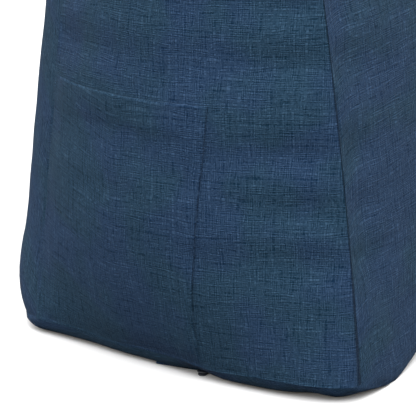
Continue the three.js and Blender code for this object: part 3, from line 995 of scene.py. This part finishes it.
def slub_weave(tree, shader):
    nodes = Nodes(tree)
    weave = nodes.node("ShaderNodeUVMap", uv_map="weave").outputs["UV"]
    split = nodes.node("ShaderNodeSeparateXYZ", {"Vector": weave})
    wander = []
    for shift in (0.0, WANDER_SHIFT):
        drift = nodes.noise(nodes.shifted(weave, (shift, shift * 2, 0)), 1 / WANDER_REACH, 2.0)
        wander.append(nodes.math("MULTIPLY", nodes.math("SUBTRACT", drift, MID_NOISE), WANDER))
    u = nodes.math("ADD", split.outputs["X"], wander[0])
    v = nodes.math("ADD", split.outputs["Y"], wander[1])
    weft_back, weft_tone, weft_turn = yarns(nodes, u, v, WEFT_SEED)
    warp_back, warp_tone, warp_turn = yarns(nodes, v, u, WARP_SEED)
    over = nodes.math("MULTIPLY", weft_turn, warp_turn)
    weft_shows = nodes.math("ADD", 1.0, over)
    warp_shows = nodes.math("SUBTRACT", 1.0, over)
    backs = nodes.math("ADD", nodes.math("MULTIPLY", weft_back, weft_shows),
                       nodes.math("MULTIPLY", warp_back, warp_shows))
    tones = nodes.math("ADD", nodes.math("MULTIPLY", weft_tone, weft_shows),
                       nodes.math("MULTIPLY", warp_tone, warp_shows))
    # Painted light and shade: yarn backs are coloured lighter and the gaps between yarns darker, on
    # top of the yarns' own tone
    shade = nodes.math("ADD", nodes.math("MULTIPLY", backs, GAP_SHADE),
                       nodes.math("MULTIPLY", tones, SLUB_TONE))
    fuzz = nodes.math("SUBTRACT", nodes.noise(weave, 1 / FUZZ_REACH), MID_NOISE)
    shade = nodes.math("ADD", shade, nodes.math("MULTIPLY", fuzz, FUZZ_TONE))
    tone = nodes.math("ADD", nodes.math("MULTIPLY", shade, SHADE_SHARE), MIDDLE_TONE)
    patches = nodes.noise(nodes.shifted(weave, DRIFT_START), 1 / DRIFT_REACH, 2.0)
    dye = nodes.ramp(patches, ALL_GREEN, ALL_VIOLET)
    green = nodes.mix(tone, GREEN_DARK, GREEN_LIGHT)
    violet = nodes.mix(tone, VIOLET_DARK, VIOLET_LIGHT)
    colour = nodes.mix(dye, green, violet)
    # Painted shade: the colour darkens towards black along the seams' creases
    seam = nodes.node("ShaderNodeAttribute", attribute_name="seam").outputs["Fac"]
    crease_shade = nodes.math("MAXIMUM", nodes.ramp(seam, 0.0, CREASE_SHADE_WIDTH), CREASE_SHADE_TONE)
    colour = nodes.mix(crease_shade, BLACK, colour)
    nodes.put(shader.inputs["Base Color"], colour)
    bump_node = nodes.node("ShaderNodeBump", {
        "Strength": WEAVE_BUMP, "Distance": YARN_HEIGHT, "Height": backs,
    })
    nodes.put(shader.inputs["Normal"], bump_node.outputs[0])
    shader.inputs["Roughness"].default_value = CLOTH_ROUGHNESS
    shader.inputs["Specular IOR Level"].default_value = CLOTH_SPECULAR
    shader.inputs["Sheen Weight"].default_value = CLOTH_SHEEN
    shader.inputs["Sheen Roughness"].default_value = SHEEN_ROUGHNESS


ENAMEL_DARK = (0.008, 0.011, 0.017, 1)
ENAMEL_LIGHT = (0.016, 0.021, 0.03, 1)
ENAMEL_GRAIN = 900.0  # specks to the metre
ENAMEL_ROUGHNESS = 0.35
ENAMEL_UNEVEN = 0.2


def enamel(tree, shader):
    nodes = Nodes(tree)
    place = nodes.node("ShaderNodeTexCoord").outputs["Object"]
    grain = nodes.noise(place, ENAMEL_GRAIN, 3.0)
    uneven = nodes.math("MULTIPLY", grain, ENAMEL_UNEVEN)
    nodes.put(shader.inputs["Base Color"], nodes.mix(grain, ENAMEL_DARK, ENAMEL_LIGHT))
    nodes.put(shader.inputs["Roughness"], nodes.math("ADD", ENAMEL_ROUGHNESS, uneven))


def node_material(name, build):
    material = bpy.data.materials.new(name)
    material.use_nodes = True
    tree = material.node_tree
    build(tree, tree.nodes["Principled BSDF"])
    return material


# The pieces

cloth = node_material("cover_cloth", slub_weave)
zip_coating = node_material("zip_coating", enamel)
field = settled_field()
cover = make_cushion(field, cloth)
pocket = make_pocket(field, cloth)
flap = make_flap(cloth)
slider = make_slider(zip_coating)
for piece, node, slot in (
    (cover, "cushion", "cover_cloth"),
    (pocket, "pocket", "cover_cloth"),
    (flap, "zip_flap", "cover_cloth"),
    (slider, "zip_slider", "zip_coating"),
):
    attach(piece, "root")
    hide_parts(node)


# Floor, lights and camera, in metres

FLOOR_SIZE = 30
PAPER = (0.9, 0.9, 0.9, 1)
PAPER_ROUGHNESS = 0.9


def add_floor():
    bpy.ops.mesh.primitive_plane_add(size=FLOOR_SIZE)
    floor = bpy.context.object
    floor.name = "floor"

    def pale(tree, shader):
        shader.inputs["Base Color"].default_value = PAPER
        shader.inputs["Roughness"].default_value = PAPER_ROUGHNESS

    floor.data.materials.append(node_material("floor_paper", pale))
    floor.visible_diffuse = False


LIGHT_SIZE = 0.8
LIGHT_TARGET = (-0.2, 0, 0.15)
KEY_PLACE = (-1.05, -0.57, 1.25)
KEY_POWER = 13.9
FILL_PLACE = (-1.6, -0.1, 0.7)
FILL_POWER = 3.0


def add_light(name, place, power):
    data = bpy.data.lights.new(name, "AREA")
    data.shape = "SQUARE"
    data.size = LIGHT_SIZE
    data.energy = power
    lamp = bpy.data.objects.new(name, data)
    lamp.location = place
    back = Vector(place) - Vector(LIGHT_TARGET)
    lamp.rotation_euler = back.to_track_quat("Z", "Y").to_euler()
    bpy.context.scene.collection.objects.link(lamp)


LOW_LIGHT = -0.7  # straight from below, where it takes light away
ZENITH_LIGHT = 2.27


def add_world():
    """Soft light from all over, brighter overhead."""
    world = bpy.data.worlds.new("studio")
    bpy.context.scene.world = world
    world.use_nodes = True
    nodes = Nodes(world.node_tree)
    way = nodes.node("ShaderNodeTexCoord").outputs["Generated"]
    height = nodes.node("ShaderNodeSeparateXYZ", {"Vector": way}).outputs["Z"]
    strength = nodes.node("ShaderNodeMapRange", {
        "Value": height, "From Min": -1.0, "To Min": LOW_LIGHT, "To Max": ZENITH_LIGHT,
    }).outputs[0]
    background = world.node_tree.nodes["Background"]
    background.inputs["Color"].default_value = WHITE
    nodes.put(background.inputs["Strength"], strength)


CAMERA_AZIMUTH = math.radians(-60.2)
CAMERA_ELEVATION = math.radians(16.5)
CAMERA_PLACE = (-1059.9, -463.0, 358.9)  # in millimetres, in the cushion's own frame
SENSOR = 36.0
FOCAL_PIXELS = 1850
FRAME_PIXELS = 416


def add_camera():
    data = bpy.data.cameras.new("camera")
    data.sensor_width = SENSOR
    data.lens = SENSOR * FOCAL_PIXELS / FRAME_PIXELS
    camera = bpy.data.objects.new("camera", data)
    azimuth, elevation = CAMERA_AZIMUTH, CAMERA_ELEVATION
    back = Vector((
        math.sin(azimuth) * math.cos(elevation),
        -math.cos(azimuth) * math.cos(elevation),
        math.sin(elevation),
    ))
    camera.location = (PLACE + CAMERA_PLACE) * MM
    camera.rotation_mode = "QUATERNION"
    camera.rotation_quaternion = (-back).to_track_quat("-Z", "Y")
    bpy.context.scene.collection.objects.link(camera)
    bpy.context.scene.camera = camera


add_floor()
add_world()
add_light("key", KEY_PLACE, KEY_POWER)
add_light("fill", FILL_PLACE, FILL_POWER)
add_camera()
bpy.context.scene.view_settings.view_transform = "Standard"
